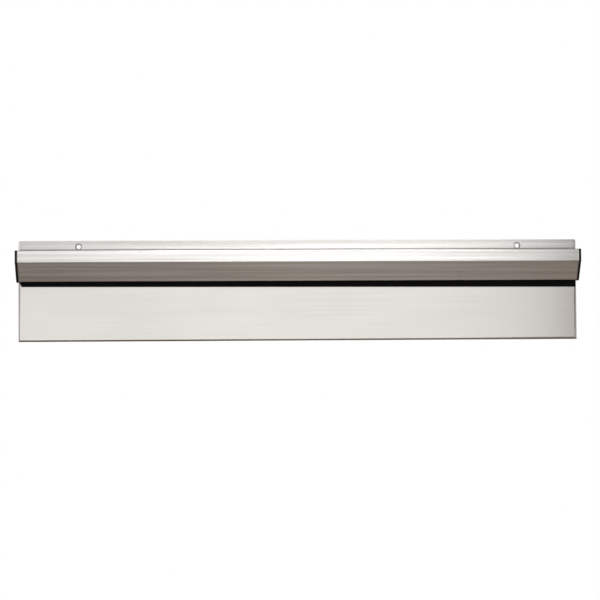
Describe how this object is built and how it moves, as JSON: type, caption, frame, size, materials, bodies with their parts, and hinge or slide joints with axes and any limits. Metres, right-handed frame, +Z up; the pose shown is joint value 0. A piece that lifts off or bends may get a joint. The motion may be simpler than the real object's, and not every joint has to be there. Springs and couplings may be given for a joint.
{
  "type": "order ticket rail",
  "caption": "Wall-mounted order ticket rail: a folded steel hood holds loose glass marbles that pinch paper slips against a rubber strip on a wide back plate.",
  "frame": {"origin": "on the wall plane, at the back of the wall plate's flange, midway between the two screw holes", "axes": "+X along the rail to the viewer's right, +Y into the wall, +Z up"},
  "size_m": [0.6022, 0.0259, 0.108],
  "materials": {
    "steel_plate": "brushed",
    "steel_hood": "brushed",
    "rubber_strip": "matt",
    "plastic_cap": "satin",
    "glass_marble": "polished"
  },
  "bodies": {
    "rail": {"back_plate": "steel_plate", "hood": "steel_hood", "grip_strip": "rubber_strip", "end_cap_left": "plastic_cap", "end_cap_right": "plastic_cap"},
    "marble_01": {"marble_01": "glass_marble"},
    "marble_02": {"marble_02": "glass_marble"},
    "marble_03": {"marble_03": "glass_marble"},
    "marble_04": {"marble_04": "glass_marble"},
    "marble_05": {"marble_05": "glass_marble"},
    "marble_06": {"marble_06": "glass_marble"},
    "marble_07": {"marble_07": "glass_marble"},
    "marble_08": {"marble_08": "glass_marble"},
    "marble_09": {"marble_09": "glass_marble"},
    "marble_10": {"marble_10": "glass_marble"},
    "marble_11": {"marble_11": "glass_marble"},
    "marble_12": {"marble_12": "glass_marble"},
    "marble_13": {"marble_13": "glass_marble"},
    "marble_14": {"marble_14": "glass_marble"},
    "marble_15": {"marble_15": "glass_marble"},
    "marble_16": {"marble_16": "glass_marble"},
    "marble_17": {"marble_17": "glass_marble"},
    "marble_18": {"marble_18": "glass_marble"},
    "marble_19": {"marble_19": "glass_marble"},
    "marble_20": {"marble_20": "glass_marble"},
    "marble_21": {"marble_21": "glass_marble"},
    "marble_22": {"marble_22": "glass_marble"},
    "marble_23": {"marble_23": "glass_marble"},
    "marble_24": {"marble_24": "glass_marble"},
    "marble_25": {"marble_25": "glass_marble"},
    "marble_26": {"marble_26": "glass_marble"},
    "marble_27": {"marble_27": "glass_marble"},
    "marble_28": {"marble_28": "glass_marble"},
    "marble_29": {"marble_29": "glass_marble"},
    "marble_30": {"marble_30": "glass_marble"},
    "marble_31": {"marble_31": "glass_marble"},
    "marble_32": {"marble_32": "glass_marble"},
    "marble_33": {"marble_33": "glass_marble"},
    "marble_34": {"marble_34": "glass_marble"},
    "marble_35": {"marble_35": "glass_marble"}
  },
  "joints": [
    {"name": "marble_01_lift", "type": "slide", "parent": "rail", "child": "marble_01", "axis": [0, -0.5453, 0.8383], "range_m": [0, 0.0042]},
    {"name": "marble_02_lift", "type": "slide", "parent": "rail", "child": "marble_02", "axis": [0, -0.5453, 0.8383], "range_m": [0, 0.0042]},
    {"name": "marble_03_lift", "type": "slide", "parent": "rail", "child": "marble_03", "axis": [0, -0.5453, 0.8383], "range_m": [0, 0.0042]},
    {"name": "marble_04_lift", "type": "slide", "parent": "rail", "child": "marble_04", "axis": [0, -0.5453, 0.8383], "range_m": [0, 0.0042]},
    {"name": "marble_05_lift", "type": "slide", "parent": "rail", "child": "marble_05", "axis": [0, -0.5453, 0.8383], "range_m": [0, 0.0042]},
    {"name": "marble_06_lift", "type": "slide", "parent": "rail", "child": "marble_06", "axis": [0, -0.5453, 0.8383], "range_m": [0, 0.0042]},
    {"name": "marble_07_lift", "type": "slide", "parent": "rail", "child": "marble_07", "axis": [0, -0.5453, 0.8383], "range_m": [0, 0.0042]},
    {"name": "marble_08_lift", "type": "slide", "parent": "rail", "child": "marble_08", "axis": [0, -0.5453, 0.8383], "range_m": [0, 0.0042]},
    {"name": "marble_09_lift", "type": "slide", "parent": "rail", "child": "marble_09", "axis": [0, -0.5453, 0.8383], "range_m": [0, 0.0042]},
    {"name": "marble_10_lift", "type": "slide", "parent": "rail", "child": "marble_10", "axis": [0, -0.5453, 0.8383], "range_m": [0, 0.0042]},
    {"name": "marble_11_lift", "type": "slide", "parent": "rail", "child": "marble_11", "axis": [0, -0.5453, 0.8383], "range_m": [0, 0.0042]},
    {"name": "marble_12_lift", "type": "slide", "parent": "rail", "child": "marble_12", "axis": [0, -0.5453, 0.8383], "range_m": [0, 0.0042]},
    {"name": "marble_13_lift", "type": "slide", "parent": "rail", "child": "marble_13", "axis": [0, -0.5453, 0.8383], "range_m": [0, 0.0042]},
    {"name": "marble_14_lift", "type": "slide", "parent": "rail", "child": "marble_14", "axis": [0, -0.5453, 0.8383], "range_m": [0, 0.0042]},
    {"name": "marble_15_lift", "type": "slide", "parent": "rail", "child": "marble_15", "axis": [0, -0.5453, 0.8383], "range_m": [0, 0.0042]},
    {"name": "marble_16_lift", "type": "slide", "parent": "rail", "child": "marble_16", "axis": [0, -0.5453, 0.8383], "range_m": [0, 0.0042]},
    {"name": "marble_17_lift", "type": "slide", "parent": "rail", "child": "marble_17", "axis": [0, -0.5453, 0.8383], "range_m": [0, 0.0042]},
    {"name": "marble_18_lift", "type": "slide", "parent": "rail", "child": "marble_18", "axis": [0, -0.5453, 0.8383], "range_m": [0, 0.0042]},
    {"name": "marble_19_lift", "type": "slide", "parent": "rail", "child": "marble_19", "axis": [0, -0.5453, 0.8383], "range_m": [0, 0.0042]},
    {"name": "marble_20_lift", "type": "slide", "parent": "rail", "child": "marble_20", "axis": [0, -0.5453, 0.8383], "range_m": [0, 0.0042]},
    {"name": "marble_21_lift", "type": "slide", "parent": "rail", "child": "marble_21", "axis": [0, -0.5453, 0.8383], "range_m": [0, 0.0042]},
    {"name": "marble_22_lift", "type": "slide", "parent": "rail", "child": "marble_22", "axis": [0, -0.5453, 0.8383], "range_m": [0, 0.0042]},
    {"name": "marble_23_lift", "type": "slide", "parent": "rail", "child": "marble_23", "axis": [0, -0.5453, 0.8383], "range_m": [0, 0.0042]},
    {"name": "marble_24_lift", "type": "slide", "parent": "rail", "child": "marble_24", "axis": [0, -0.5453, 0.8383], "range_m": [0, 0.0042]},
    {"name": "marble_25_lift", "type": "slide", "parent": "rail", "child": "marble_25", "axis": [0, -0.5453, 0.8383], "range_m": [0, 0.0042]},
    {"name": "marble_26_lift", "type": "slide", "parent": "rail", "child": "marble_26", "axis": [0, -0.5453, 0.8383], "range_m": [0, 0.0042]},
    {"name": "marble_27_lift", "type": "slide", "parent": "rail", "child": "marble_27", "axis": [0, -0.5453, 0.8383], "range_m": [0, 0.0042]},
    {"name": "marble_28_lift", "type": "slide", "parent": "rail", "child": "marble_28", "axis": [0, -0.5453, 0.8383], "range_m": [0, 0.0042]},
    {"name": "marble_29_lift", "type": "slide", "parent": "rail", "child": "marble_29", "axis": [0, -0.5453, 0.8383], "range_m": [0, 0.0042]},
    {"name": "marble_30_lift", "type": "slide", "parent": "rail", "child": "marble_30", "axis": [0, -0.5453, 0.8383], "range_m": [0, 0.0042]},
    {"name": "marble_31_lift", "type": "slide", "parent": "rail", "child": "marble_31", "axis": [0, -0.5453, 0.8383], "range_m": [0, 0.0042]},
    {"name": "marble_32_lift", "type": "slide", "parent": "rail", "child": "marble_32", "axis": [0, -0.5453, 0.8383], "range_m": [0, 0.0042]},
    {"name": "marble_33_lift", "type": "slide", "parent": "rail", "child": "marble_33", "axis": [0, -0.5453, 0.8383], "range_m": [0, 0.0042]},
    {"name": "marble_34_lift", "type": "slide", "parent": "rail", "child": "marble_34", "axis": [0, -0.5453, 0.8383], "range_m": [0, 0.0042]},
    {"name": "marble_35_lift", "type": "slide", "parent": "rail", "child": "marble_35", "axis": [0, -0.5453, 0.8383], "range_m": [0, 0.0042]}
  ]
}
